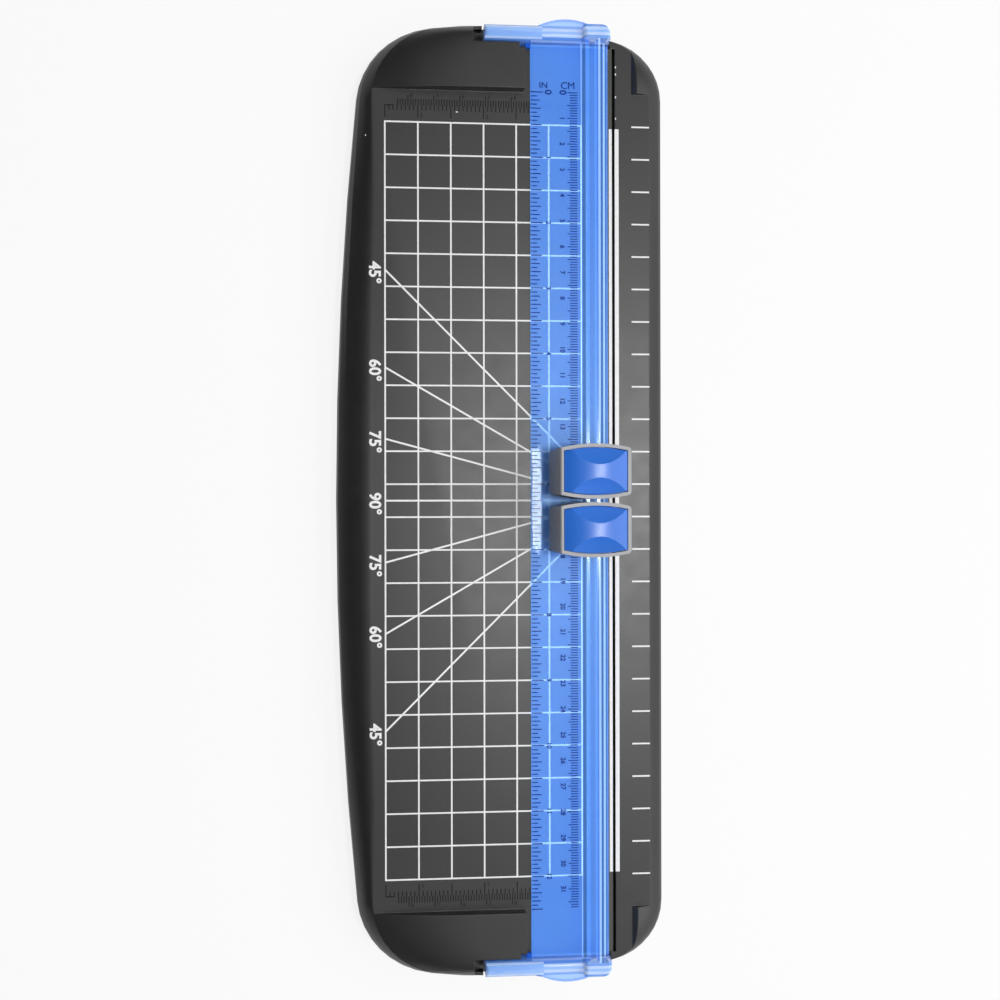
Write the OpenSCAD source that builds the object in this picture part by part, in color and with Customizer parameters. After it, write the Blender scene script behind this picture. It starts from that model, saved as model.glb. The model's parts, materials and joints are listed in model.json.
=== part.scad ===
// Paper trimmer with a hinged ruler rail and two sliding carriages, a cutter and a scorer.
// Millimetres. X runs across the deck, Y along the cut, Z up. The table is at z = 0.

/* [Base] */
// Width of the base across the deck
base_w = 128; // [122:1:140]
// Length of the base along the cut
base_l = 371; // [364:1:400]
// Height of the deck above the table
deck_z = 16; // [14:0.5:20]
// Bow of the left edge over the length of the bed
side_bow = 8.2; // [6:0.2:10]
// How much straighter the left edge of the deck is than the left edge of the base
side_roll = 5.7; // [3:0.1:5.8]
// Radius of the curved ends
end_r = 200; // [160:5:260]
// Radius of the base's right corners in plan
corner_r = 23; // [20:1:32]
// Radius of the base's left corners in plan
left_corner_r = 31; // [24:1:36]
// Height of the straight side wall above the table
edge_z = 10; // [8:0.5:11]
// Rise of the domed top above the straight side wall
dome_h = 10.8; // [9:0.1:13]
// Distance from the side wall over which the dome rises
dome_d = 34.5; // [30:0.5:45]
// Distance from the deck's left edge over which the left fence blocks rise
left_d = 40; // [34:0.5:46]
// Distance from an end wall over which the end rises
end_d = 8; // [6:0.5:12]
// Thickness of the outer wall
wall_t = 2.2; // [1.6:0.1:3]
// Thickness of the deck plate
deck_t = 2.6; // [2:0.1:3.4]
// Thickness of the ribs under the deck
rib_t = 1.6; // [1.2:0.1:2.4]
// Largest distance between ribs
rib_pitch = 34; // [26:1:36]

/* [Fences] */
// Distance between the two fences, which is the longest sheet
bed_l = 317.5; // [300:0.5:320]
// Gap between the left fence blocks and the ruler plate
fence_gap = 2; // [1.6:0.1:4]
// Rounding of the left fence blocks in plan
fence_r = 1; // [1:0.5:5]
// Distance from the right edge to the wall of the right corner blocks
block_inset = 12.8; // [10:0.2:15]
// Lean of the right corner blocks' long walls
block_lean = 45; // [0:5:50]

/* [Feet] */
// Diameter of a rubber foot
foot_d = 12; // [8:0.5:16]
// Height of a foot below the base
foot_h = 2; // [1.5:0.1:3]
// Depth of the seat that holds a foot
foot_seat = 1; // [0.6:0.1:1.5]
// Distance of a foot's centre from the base's edge
foot_inset = 14; // [12:0.5:18]
// Distance of the end feet from the ends of the base
foot_end = 37.5; // [36.5:0.5:66]

/* [Blade slot] */
// Distance from the right edge to the cut line
cut_inset = 20; // [18:0.2:24]
// Width of the slot that the blade runs in
slot_w = 1.1; // [0.9:0.1:1.6]
// Depth of the slot below the deck
slot_depth = 4; // [3.4:0.1:5]
// Width of the inlaid cutting strip
strip_w = 5; // [4:0.2:7]

/* [Rail] */
// Width of the ruler plate
plate_w = 30.3; // [28:0.1:36]
// Thickness of the ruler plate
plate_t = 2.4; // [2:0.1:3]
// Gap between the ruler plate and the deck
plate_lift = 0.3; // [0.3:0.1:0.8]
// Gap between the ruler plate and the cut line
plate_gap = 2.4; // [2:0.1:3]
// Bevel along the edges of the ruler plate
plate_bevel = 0.9; // [0.3:0.1:1.2]
// Distance from the cut line to the middle of the beam
beam_offset = 9.2; // [8.5:0.1:11]
// Height of the beam above the ruler plate
beam_h = 6.8; // [6:0.1:7.5]
// Width of the beam's flange
flange_w = 5.2; // [4.6:0.1:6]
// Thickness of the beam's flange
flange_t = 2; // [1.6:0.1:2.4]
// Width of the beam's neck
neck_w = 2.8; // [2.2:0.1:3.2]
// Width of an end arm along the cut
arm_w = 6; // [5:0.1:7]
// Distance of an arm's outer face from the end of the base
arm_inset = 2.4; // [2:0.1:6]
// Height of an arm's top above the deck
arm_rise = 6; // [4.8:0.2:7]
// Depth of an arm's underside below the hinge axis
arm_drop = 3.5; // [2.5:0.1:4.5]
// Rounding of an arm's corners
arm_r = 1.6; // [0.8:0.1:2.4]
// Rounding of the long edges on top of an arm
arm_edge = 2.4; // [1:0.1:2.4]
// Length of a finger tab along its arm
tab_l = 22; // [16:0.5:26]
// How far a finger tab stands out of its arm
tab_out = 2.6; // [2:0.1:4]
// Thickness of a finger tab
tab_t = 2.6; // [1.8:0.1:3.2]
// Depth of a finger tab's top below the top of its arm
tab_drop = 1.5; // [0.5:0.1:2]

/* [Hinge] */
// Diameter of a hinge pin
pin_d = 3; // [2:0.1:4]
// Distance from the ruler plate's left edge to the hinge axis
hinge_reach = 12.8; // [12:0.1:15]
// Depth of the hinge axis below the deck
hinge_drop = 2; // [1.6:0.1:2.6]
// Largest angle that the rail lifts to
rail_lift = 70; // [60:1:75]
// Radius of the arm around the hinge pin
eye_r = 5.3; // [4.6:0.1:5.5]
// Running clearance of the pin in the arm, on the radius
pin_clear = 0.05; // [0.02:0.01:0.1]
// Length of the pin inside the base
pin_grip = 10; // [6:0.5:14]

/* [Carriage] */
// Width of a carriage across the rail
car_w = 26.6; // [25.6:0.2:28]
// Length of a carriage at its middle
car_l = 20.6; // [19:0.2:24]
// How far a carriage's long sides bulge
car_bulge = 1.6; // [0.6:0.1:2]
// Distance from the cut line to the carriage's right side
car_right = 2.4; // [2.3:0.1:3]
// Height of a carriage's rim above the deck
car_h = 24; // [23.4:0.2:28]
// How far the left side leans out at the bottom
car_flare = 1.6; // [0.4:0.1:2.4]
// Thickness of a carriage's wall
car_wall = 0.8; // [0.8:0.1:1.1]
// Width of the lip around the button, beyond the wall
car_lip = 0.5; // [0.4:0.1:0.6]
// Gap between the two carriages at rest
car_gap = 1.2; // [0.8:0.1:3]
// Clearance between a carriage and the rail or the button
slide_clear = 0.3; // [0.25:0.05:0.4]

/* [Button] */
// Travel of a button
press = 3; // [2:0.1:3.2]
// Height of the button's crest above the carriage's rim
crest_h = 2.2; // [1:0.1:3]
// How far the crown falls from its crest to its ends
crown_fall = 2.4; // [1:0.1:3]
// Width of a finger scoop at the side
scoop_w = 21.8; // [16:0.2:22.4]
// How far a finger scoop cuts in from the side
scoop_in = 6.2; // [4:0.1:6.8]
// Depth of a finger scoop at the side
scoop_depth = 3; // [1.5:0.1:3.4]
// Outer diameter of the return spring
spring_d = 7.4; // [6:0.1:8]
// Diameter of the spring's wire
wire_d = 0.8; // [0.5:0.05:0.9]
// Turns of the spring
spring_turns = 4.5; // [3:0.5:5]

/* [Blades] */
// Thickness of the cutting blade
blade_t = 0.5; // [0.3:0.05:0.5]
// Length of a blade along the cut
blade_l = 9; // [6:0.5:10]
// Height of a blade
blade_h = 13; // [12:0.5:14]
// Height of the resting tip above the deck
tip_lift = 1; // [0.6:0.1:1.4]
// Height of the cutting blade's pointed tip
tip_h = 4; // [2:0.2:6]
// Radius of the scoring blade's blunt tip
score_r = 4.5; // [3.2:0.1:4.5]
// Thickness of the blade holder
holder_t = 1.6; // [1.2:0.1:1.8]
// Diameter of the rivet through a blade
rivet_d = 2; // [1.4:0.1:2.6]

/* [Hidden] */
$fn = 48;
// Facets of a carriage's rounded corners and bulging sides
corner_fn = 24;
side_fn = 240;

// Colours as the object shows them
black = [0.20, 0.20, 0.20];
strip_black = [0.24, 0.24, 0.22];
rubber_black = [0.12, 0.12, 0.12];
rail_blue = [0.33, 0.55, 0.93, 0.7];
button_blue = [0.22, 0.43, 0.88];
shell_grey = [0.72, 0.71, 0.69];
shoe_grey = [0.35, 0.35, 0.36];
steel = [0.75, 0.76, 0.78];

// Reach of a cut that only has to pass a surface
past = 30;
// Overlap that joins two stretches of one moulding
join = 0.1;
// Fixed gap between seated pieces of one body
seat_gap = 0.05;

half_w = base_w / 2;
half_l = base_l / 2;
base_z = foot_h;
fence_y = bed_l / 2;

// Where the dome meets the deck
deck_angle = asin((deck_z - edge_z) / dome_h);
deck_inset = dome_inset(deck_angle);
dome_top = edge_z + dome_h;
// Rings of the dome: up to the deck's edge, and on to the flat top
deck_rings = 4;
top_rings = 7;
dome_angles = [
  for (i = [0:deck_rings]) deck_angle * i / deck_rings,
  for (i = [1:top_rings]) deck_angle + (90 - deck_angle) * i / top_rings
];
// Steps around the curved end, a corner and half of the bowed side
end_steps = 6;
corner_steps = 8;
side_steps = 4;
least_corner_r = 1;
// Share of a side's draw that its corners' radius loses
corner_share = 0.25;
// Draw of the side wall towards the table
side_draw = 0.8;
side_draw_z = 3;

// Cut line and rail, from right to left
cut_x = half_w - cut_inset;
slot_z = deck_z - slot_depth;
strip_right = cut_x - slot_w / 2;
strip_left = strip_right - strip_w;
plate_right = cut_x - plate_gap;
plate_left = plate_right - plate_w;
plate_z = deck_z + plate_lift;
plate_top = plate_z + plate_t;
beam_x = cut_x - beam_offset;
beam_top = plate_top + beam_h;
flange_z = beam_top - flange_t;

// Hinge and arms
hinge_x = plate_left - hinge_reach;
hinge_z = deck_z - hinge_drop;
arm_outer = half_l - arm_inset;
arm_inner = arm_outer - arm_w;
arm_left = hinge_x - eye_r;
arm_top = deck_z + arm_rise;
// Gap around an arm in its recess
arm_clear = 0.8;
arm_bottom = hinge_z - arm_drop;
recess_y = arm_inner - arm_clear;
recess_z = hinge_z - eye_r - slide_clear;
// Farthest point of the arm's rounded corner from the hinge, and the pocket that it swings in
arm_swing = norm([eye_r - arm_r, arm_top - arm_r - hinge_z]) + arm_r;
swing_clear = 0.4;
pocket_r = arm_swing + swing_clear;
// Height of the lip outside the pocket
pocket_lip_z = hinge_z - 0.6;
// Farthest corner of the arm's other end, which swings past the wall beside the beam
end_swing = norm([plate_right - hinge_x, hinge_z - arm_bottom]);
recess_right = hinge_x + end_swing + arm_clear;
// Small gusset where the plate meets an arm
gusset_w = 2;
gusset_l = 1.8;
gusset_swing = 2.5;
// Beam's end block on an arm
beam_end_w = 10.4;
tab_r = (pow(tab_l / 2, 2) + pow(tab_out, 2)) / (2 * tab_out);
// Middle of a finger tab, a little towards the beam
tab_shift = 1.5;
tab_x = (plate_left + beam_x - flange_w / 2) / 2 + tab_shift;
// Pin's head, sunk in the arm
head_rim = 1;
head_d = pin_d + 2 * head_rim;
head_t = 1;
head_clear = 0.2;
// Close seat of the pin in the base, on the radius
pin_seat = 0.02;

// Fences
fence_right = plate_left - fence_gap;
block_x = half_w - block_inset;

// Underside
ceiling_z = deck_z - deck_t;
ceiling_angle = asin((ceiling_z - edge_z) / dome_h);
boss_wall = 2;
// Boss in the base around a hinge pin
pin_boss_wall = 3;
boss_r = pin_d / 2 + pin_boss_wall;
boss_l = pin_grip + boss_wall;
// Gap around a foot in its seat
foot_fit = 0.1;
foot_edge = 0.8;
foot_y = half_l - foot_end;
foot_sites = [
  [half_w - foot_inset, foot_y],
  [half_w - foot_inset, 0],
  [half_w - foot_inset, -foot_y],
  [left_edge(foot_y) + foot_inset, foot_y],
  [left_edge(0) + foot_inset, 0],
  [left_edge(foot_y) + foot_inset, -foot_y]
];

// Carriages
car_x1 = cut_x + car_right;
car_x0 = car_x1 - car_w;
car_x = (car_x0 + car_x1) / 2;
car_y = (car_l + car_gap) / 2;
// Gap between a carriage's shell and the ruler plate
car_lift = 0.5;
car_z = plate_top + car_lift;
rim_z = deck_z + car_h;
rim_edge = 0.5;
car_corner = 1.4;
least_car_corner = 0.3;
// Notch in the foot of a carriage's left wall
notch_w = 1.4;
notch_h = 1.2;
// Depth of the lip around the button
lip_h = 3;
lip_z = rim_z - lip_h;
side_r = (pow(car_w / 2, 2) + pow(car_bulge, 2)) / (2 * car_bulge);

// Shoe under the button
shoe_lift = 0.2;
shoe_z0 = car_z + shoe_lift;
// Height of the shoe above the beam
shoe_roof = 3.5;
shoe_z1 = beam_top + shoe_roof;
shoe_inset = car_wall + seat_gap;
post_h = 2;

// Button
skirt_inset = car_wall + slide_clear;
crown_inset = car_wall + car_lip + slide_clear;
skirt_z0 = shoe_z1 + press + slide_clear;
skirt_z1 = lip_z - slide_clear;
skirt_t = 1.7;
roof_z = skirt_z1 - slide_clear;
// The crest lies a little towards the cut line
crest_shift = 1.3;
crest_x = car_x + crest_shift;
crest_z = rim_z + crest_h;
crown_half = car_w / 2 - crown_inset;
crown_r = (pow(crown_half, 2) + pow(crown_fall, 2)) / (2 * crown_fall);
// A scoop is a ball whose low cap cuts the side along scoop_w and down to scoop_depth
scoop_share = 0.75;
scoop_fall = min(crown_r - sqrt(pow(crown_r, 2) - pow(scoop_w / 2, 2)), scoop_share * scoop_depth);
scoop_cap = pow(scoop_w / 2, 2) - pow(scoop_depth, 2) + pow(scoop_fall, 2);
scoop_lift = scoop_cap / (2 * (scoop_depth - scoop_fall));
scoop_out = (pow(scoop_depth, 2) + 2 * scoop_lift * scoop_depth - pow(scoop_in, 2)) / (2 * scoop_in);
scoop_y = car_l / 2 - crown_inset + scoop_out;
scoop_ball = norm([scoop_lift + scoop_depth, scoop_out]);

// Blade and its holder, left of the cut line
holder_x1 = cut_x - blade_t / 2 - seat_gap;
holder_x0 = holder_x1 - holder_t;
holder_margin = 1;
holder_l = blade_l + 2 * holder_margin;
holder_foot_w = 5.2;
holder_foot_t = 1.5;
tip_z = deck_z + tip_lift;
holder_z0 = tip_z + tip_h;
// Rivet through the blade and its holder
rivet_drop = 4.2;
rivet_z = tip_z + blade_h - rivet_drop;
rivet_head = 0.5;
rivet_rim = 0.8;
rivet_taper = 0.5;
score_t = 0.5;
// Two stakes under the button's roof, through the holder's foot
stake_d = 1.5;
stake_clear = 0.1;
stake_edge = 2.1;
stake_y = holder_l / 2 - stake_edge;
stake_x = (holder_x1 - holder_foot_w + holder_x0) / 2;
// Space that the holder and blade need in the button's skirt
holder_room = 0.5;

// Distance of the dome's surface from the side wall, at one angle of its ellipse
function dome_inset(a) = dome_d * (1 - cos(a));

// Height of the dome's surface at one angle of its ellipse
function dome_z(a) = edge_z + dome_h * sin(a);

// Distance of the dome's surface from an end wall, where it rises in a shorter curve
function end_inset(a) = end_d * (1 - cos(a));

// Distance of the dome's surface from the left wall, where it rises in a longer curve above the deck
function left_inset(a) =
  a <= deck_angle ? dome_inset(a)
  : deck_inset + left_d * (1 - sqrt(max(0, dome_top - dome_z(a)) / (dome_top - deck_z)));

// How much further the left side draws in at its middle
function left_draw(inset) = side_roll * min(1, inset / deck_inset);

// Radius of an arc of a given bow over the bed's length
function bow_r(bow) = (pow(fence_y, 2) + pow(bow, 2)) / (2 * bow);

// Left edge of the base at one place along the cut
function left_edge(y) = bow_r(side_bow) - half_w - sqrt(pow(bow_r(side_bow), 2) - y * y);

module mirror_y() {
  children();
  mirror([0, 1, 0]) children();
}

// Profile in X and Z, drawn out along Y from y0 to y1
module along_y(y0, y1) {
  translate([0, y1, 0])
    rotate([90, 0, 0])
      linear_extrude(y1 - y0) children();
}

// Profile in Y and Z, drawn out along X from x0 to x1
module along_x(x0, x1) {
  translate([x0, 0, 0])
    rotate([90, 0, 90])
      linear_extrude(x1 - x0) children();
}

module box(low, high) {
  translate(low) cube(high - low);
}

module rounded_rect(low, high, r) {
  translate(low + [r, 0]) square([high.x - low.x - 2 * r, high.y - low.y]);
  translate(low + [0, r]) square([high.x - low.x, high.y - low.y - 2 * r]);
  for (x = [low.x + r, high.x - r], y = [low.y + r, high.y - r])
    translate([x, y]) circle(r);
}

// Base

function arc(centre, r, a0, a1, n) =
  [for (i = [0:n]) centre + r * [cos(a0 + (a1 - a0) * i / n), sin(a0 + (a1 - a0) * i / n)]];

function heading(v) = atan2(v.y, v.x);

// Where two circles cross, on the left of the line from a to b
function crossing(a, ra, b, rb) =
  let (
    span = norm(b - a),
    along = (ra * ra - rb * rb + span * span) / (2 * span),
    unit = (b - a) / span
  )
  a + along * unit - sqrt(ra * ra - along * along) * [-unit.y, unit.x];

// Plan of the base, drawn in from its right side, its ends and its left side: right side, corner,
// curved end, corner and bowed left side
function base_ring(right, end, left) =
  let (
    draw = left_draw(left),
    left_r = bow_r(side_bow - draw),
    left_c = [left_r - half_w + left + draw, 0],
    end_c = [0, half_l - end_r],
    end_rr = end_r - end,
    r = max(corner_r - end - corner_share * right, least_corner_r),
    rl = max(left_corner_r - end - corner_share * left, least_corner_r),
    right_x = half_w - right - r,
    right_c = [right_x, end_c.y + sqrt(pow(end_rr - r, 2) - right_x * right_x)],
    corner_c = crossing(left_c, left_r - rl, end_c, end_rr - rl),
    a1 = heading(right_c - end_c),
    a2 = heading(corner_c - end_c),
    a3 = heading(corner_c - left_c),
    ends = arc(end_c, end_rr, a1, a2, end_steps),
    side = arc(left_c, left_r, a3, 180, side_steps),
    half = concat(
      arc(right_c, r, 0, a1, corner_steps),
      [for (i = [1:end_steps - 1]) ends[i]],
      arc(corner_c, rl, a2, a3, corner_steps),
      [for (i = [1:side_steps]) side[i]]
    ),
    n = len(half)
  )
  concat(half, [for (i = [n - 2:-1:0]) [half[i].x, -half[i].y]]);

// Solid through rings of equal count, each given as [height, ring], from the lowest up
module loft(rings) {
  n = len(rings[0][1]);
  last = len(rings) - 1;
  points = [for (ring = rings) for (p = ring[1]) [p.x, p.y, ring[0]]];
  sides = [for (k = [0:last - 1], i = [0:n - 1])
    let (a = k * n + i, b = k * n + (i + 1) % n)
    each [[a, b + n, b], [a, a + n, b + n]]];
  bottom = [for (i = [0:n - 1]) i];
  top = [for (i = [n - 1:-1:0]) last * n + i];
  polyhedron(points, concat(sides, [bottom, top]));
}

// Plan of the dome at one angle of its ellipse, drawn in further by inset
function dome_ring(a, inset) =
  base_ring(dome_inset(a) + inset, end_inset(a) + inset, left_inset(a) + inset);

module base_body() {
  loft([
    [base_z, dome_ring(0, side_draw)],
    [base_z + side_draw_z, dome_ring(0, 0)],
    for (a = dome_angles) [dome_z(a), dome_ring(a, 0)]
  ]);
}

// Everything above the deck between the fences, and above the rail's strip of the deck
module deck_cut() {
  top = dome_top + past;
  box([-base_w, -fence_y, deck_z], [base_w, fence_y, top]);
  along_y(-base_l, base_l) polygon([
    [fence_right, deck_z],
    [block_x, deck_z],
    [block_x + tan(block_lean) * (top - deck_z), top],
    [fence_right, top]
  ]);
  mirror_y() translate([fence_right - fence_r, fence_y, deck_z]) linear_extrude(past) difference() {
    translate([0, -join]) square([fence_r + join, fence_r + join]);
    translate([0, fence_r]) circle(fence_r);
  }
}

// Profile of the pocket that an arm's end swings in, around the hinge: open above, and below as deep as
// the lifted arm needs
module swing_profile() {
  translate([-pocket_r, 0]) square([pocket_r, base_l]);
  intersection() {
    circle(pocket_r);
    rotate(rail_lift) translate([-eye_r - swing_clear, -base_l / 2]) square(base_l);
  }
}

// Recess for one arm, open to the end of the base except for a low lip where the arm only swings
module arm_recess() {
  box([arm_left - swing_clear, recess_y, recess_z], [recess_right, base_l, base_l]);
  along_y(recess_y, arm_outer + swing_clear) translate([hinge_x, hinge_z]) swing_profile();
  box([hinge_x - pocket_r, arm_outer, pocket_lip_z], [arm_left, base_l, base_l]);
  box(
    [plate_left - gusset_w - gusset_swing, arm_inner - gusset_l - arm_clear, deck_z],
    [beam_x, base_l, base_l]
  );
}

// Channel for the cutting strip and the blade slot
module strip_channel() {
  box(
    [strip_left - seat_gap, -recess_y - join, slot_z],
    [cut_x + slot_w / 2, recess_y + join, deck_z + past]
  );
}

// Plan of the hollows under one zone of the deck, between ribs and around bosses
module hollow_plan(x0, x1, y0, y1) {
  columns = ceil((x1 - x0) / rib_pitch);
  rows = ceil((y1 - y0) / rib_pitch);
  difference() {
    intersection() {
      polygon(dome_ring(ceiling_angle, wall_t));
      for (i = [0:columns - 1], k = [0:rows - 1])
        translate([x0 + (x1 - x0) * i / columns + rib_t / 2, y0 + (y1 - y0) * k / rows + rib_t / 2])
          square([(x1 - x0) / columns - rib_t, (y1 - y0) / rows - rib_t]);
    }
    for (site = foot_sites) translate(site) circle(d = foot_d + 2 * boss_wall);
    for (side = [1, -1])
      translate([hinge_x, side * (recess_y - boss_l / 2)])
        square([2 * boss_r, boss_l], center = true);
  }
}

// Hollows from the table up to z1
module hollow(x0, x1, y0, y1, z1) {
  translate([0, 0, base_z - join]) linear_extrude(z1 - base_z + join) hollow_plan(x0, x1, y0, y1);
}

module base_hollows() {
  side_x = strip_left - wall_t;
  end_y = recess_y - wall_t;
  hollow(-half_w, side_x, -end_y, end_y, ceiling_z);
  hollow(side_x, half_w, -end_y, end_y, slot_z - wall_t);
  mirror_y() hollow(-half_w, half_w, end_y, half_l, recess_z - wall_t);
}

module base_shell() {
  color(black) difference() {
    base_body();
    deck_cut();
    mirror_y() arm_recess();
    strip_channel();
    base_hollows();
    for (site = foot_sites)
      translate([site.x, site.y, base_z - past])
        cylinder(d = foot_d + 2 * foot_fit, h = foot_seat + past);
    mirror_y() translate([hinge_x, recess_y + join, hinge_z])
      rotate([90, 0, 0]) cylinder(r = pin_d / 2 + pin_seat, h = pin_grip + join);
  }
}

module cutting_strip() {
  color(strip_black)
    box([strip_left, -recess_y, slot_z], [strip_right, recess_y, deck_z]);
}

// A rubber foot with a rounded-off edge
module foot(site) {
  top = foot_h + foot_seat;
  color(rubber_black) translate([site.x, site.y, 0]) rotate_extrude() polygon([
    [0, 0],
    [foot_d / 2 - foot_edge, 0],
    [foot_d / 2, foot_edge],
    [foot_d / 2, top],
    [0, top]
  ]);
}

// Rail

module rail_profile() {
  polygon([
    [plate_left, plate_z],
    [plate_right, plate_z],
    [plate_right, plate_top - plate_bevel],
    [plate_right - plate_bevel, plate_top],
    [beam_x + neck_w / 2, plate_top],
    [beam_x + neck_w / 2, flange_z],
    [beam_x + flange_w / 2, flange_z],
    [beam_x + flange_w / 2, beam_top],
    [beam_x - flange_w / 2, beam_top],
    [beam_x - flange_w / 2, flange_z],
    [beam_x - neck_w / 2, flange_z],
    [beam_x - neck_w / 2, plate_top],
    [plate_left + plate_bevel, plate_top],
    [plate_left, plate_top - plate_bevel]
  ]);
}

// Side view of an arm, from the hinge eye to the end of the beam
module arm_profile() {
  translate([hinge_x, hinge_z]) circle(eye_r);
  rounded_rect([arm_left, hinge_z], [plate_right, arm_top], arm_r);
  rounded_rect([hinge_x, arm_bottom], [plate_right, arm_top], arm_r);
}

// Side view of the block on an arm that ends the beam
module beam_end_profile() {
  rounded_rect([plate_right - beam_end_w, arm_bottom], [plate_right, beam_top], arm_r);
}

// Side view drawn out over an arm's width, with the top rounded from y0 to the arm's outer face
module arm_body(y0, top) {
  intersection() {
    along_y(arm_inner, arm_outer) children();
    along_x(-base_w, base_w) rounded_rect([y0, -past], [arm_outer, top], arm_edge);
  }
}

// Finger tab on the outside of an arm
module finger_tab() {
  translate([0, 0, arm_top - tab_drop - tab_t]) linear_extrude(tab_t) intersection() {
    translate([tab_x, arm_outer + tab_out - tab_r]) circle(tab_r);
    translate([arm_left, arm_outer - arm_r]) square([base_w, past]);
  }
}

module arm() {
  arm_body(arm_inner, arm_top) arm_profile();
  arm_body(arm_inner - past, beam_top) beam_end_profile();
  finger_tab();
  box(
    [plate_left - gusset_w, arm_inner - gusset_l, plate_z],
    [plate_left + plate_bevel, arm_inner + join, plate_top - plate_bevel]
  );
}

module ruler_rail() {
  color(rail_blue) difference() {
    union() {
      along_y(-arm_inner - join, arm_inner + join) rail_profile();
      mirror_y() arm();
    }
    mirror_y() translate([hinge_x, arm_outer + past, hinge_z]) rotate([90, 0, 0]) {
      cylinder(r = pin_d / 2 + pin_clear, h = arm_w + 2 * past);
      cylinder(r = head_d / 2 + head_clear, h = past + head_t + head_clear);
    }
  }
}

// Hinge pin at the +Y end, headed at its outer end
module hinge_pin() {
  length = arm_outer - recess_y + pin_grip - seat_gap;
  color(steel) translate([hinge_x, arm_outer, hinge_z]) rotate([90, 0, 0]) {
    cylinder(d = pin_d, h = length);
    cylinder(d = head_d, h = head_t);
  }
}

module hinge_pin_rear() {
  hinge_pin();
}

module hinge_pin_front() {
  mirror([0, 1, 0]) hinge_pin();
}

// Carriage pieces, drawn at the middle of the rail

// Plan of a carriage with bulging long sides, drawn in by inset and widened to the left by flare
module car_plan(inset, flare) {
  r = max(car_corner - inset, least_car_corner);
  low = car_x0 - flare + inset;
  offset(r = r, $fn = corner_fn) offset(delta = -r) intersection() {
    translate([low, -car_l]) square([car_x1 - inset - low, 2 * car_l]);
    translate([car_x, side_r - car_l / 2]) circle(side_r - inset, $fn = side_fn);
    translate([car_x, car_l / 2 - side_r]) circle(side_r - inset, $fn = side_fn);
  }
}

// Gap in a carriage that lets the beam through, with clearance all round
module beam_gap(clear) {
  half = flange_w / 2 + clear;
  box([beam_x - half, -car_l, 0], [beam_x + half, car_l, beam_top + clear]);
}

// Side view of a carriage from its foot to its rim, drawn in by inset, with a leaning left side
module car_side(inset, top, edge) {
  lean = car_flare / (rim_z - car_z);
  polygon([
    [car_x0 - car_flare + inset - lean * past, car_z - past],
    [car_x1 + past, car_z - past],
    [car_x1 + past, top],
    [car_x0 + inset + lean * (rim_z - top) + edge, top],
    [car_x0 + inset + lean * (rim_z - top + edge), top - edge]
  ]);
}

module car_form(inset, z0, z1, edge) {
  intersection() {
    translate([0, 0, z0]) linear_extrude(z1 - z0) car_plan(inset, car_flare);
    along_y(-car_l, car_l) car_side(inset, z1, edge);
  }
}

module car_shell() {
  color(shell_grey) difference() {
    car_form(0, car_z, rim_z, rim_edge);
    car_form(car_wall, car_z - join, lip_z, 0);
    translate([0, 0, lip_z - join]) linear_extrude(past) car_plan(car_wall + car_lip, 0);
    beam_gap(2 * slide_clear);
    box([car_x0 - past, -notch_w / 2, 0], [car_x0 + car_wall, notch_w / 2, car_z + notch_h]);
  }
}

module car_shoe() {
  neck = neck_w / 2 + slide_clear;
  flange = flange_w / 2 + slide_clear;
  right = holder_x0 - 2 * slide_clear;
  color(shoe_grey) {
    difference() {
      translate([0, 0, shoe_z0]) linear_extrude(shoe_z1 - shoe_z0) intersection() {
        car_plan(shoe_inset, 0);
        translate([car_x0, -car_l]) square([right - car_x0, 2 * car_l]);
      }
      box([beam_x - neck, -car_l, 0], [beam_x + neck, car_l, flange_z]);
      box(
        [beam_x - flange, -car_l, flange_z - slide_clear],
        [beam_x + flange, car_l, beam_top + slide_clear]
      );
    }
    translate([car_x, 0, shoe_z1 - join])
      cylinder(d = spring_d - 2 * wire_d - 4 * slide_clear, h = post_h + join);
  }
}

// The spring's wire: sides around it and rings along each turn
spring_sides = 6;
spring_rings = 8;
spring_steps = round(spring_rings * spring_turns);
spring_z0 = shoe_z1 + seat_gap;
spring_z1 = roof_z - seat_gap;
spring_r = (spring_d - wire_d) / 2;
spring_rise = spring_z1 - spring_z0 - wire_d;
function spring_centre(i) =
  let (a = 360 * spring_turns * i / spring_steps)
  [spring_r * cos(a), spring_r * sin(a), spring_z0 + wire_d / 2 + spring_rise * i / spring_steps];
function spring_ring(i) =
  let (a = 360 * spring_turns * i / spring_steps)
  [for (k = [0:spring_sides - 1])
    let (b = 360 * k / spring_sides)
    spring_centre(i) + wire_d / 2 * [cos(b) * cos(a), cos(b) * sin(a), sin(b)]];
// Least gap between points of the wire that lie more than half a turn apart
spring_gap = min([for (i = [0:spring_steps], j = [0:spring_steps])
  if (j - i > spring_rings / 2) norm(spring_centre(i) - spring_centre(j)) - wire_d]);
echo(spring_least_gap = spring_gap);

module car_spring() {
  n = spring_sides;
  points = [for (i = [0:spring_steps]) each spring_ring(i)];
  last = spring_steps * n;
  sides = [for (i = [0:spring_steps - 1], k = [0:n - 1])
    let (a = i * n + k, b = i * n + (k + 1) % n)
    each [[a, b + n, b], [a, a + n, b + n]]];
  first_cap = [for (k = [1:n - 2]) [0, k, k + 1]];
  last_cap = [for (k = [1:n - 2]) [last, last + k + 1, last + k]];
  color(steel) translate([car_x, 0, 0])
    polyhedron(points, concat(sides, first_cap, last_cap));
}

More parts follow.
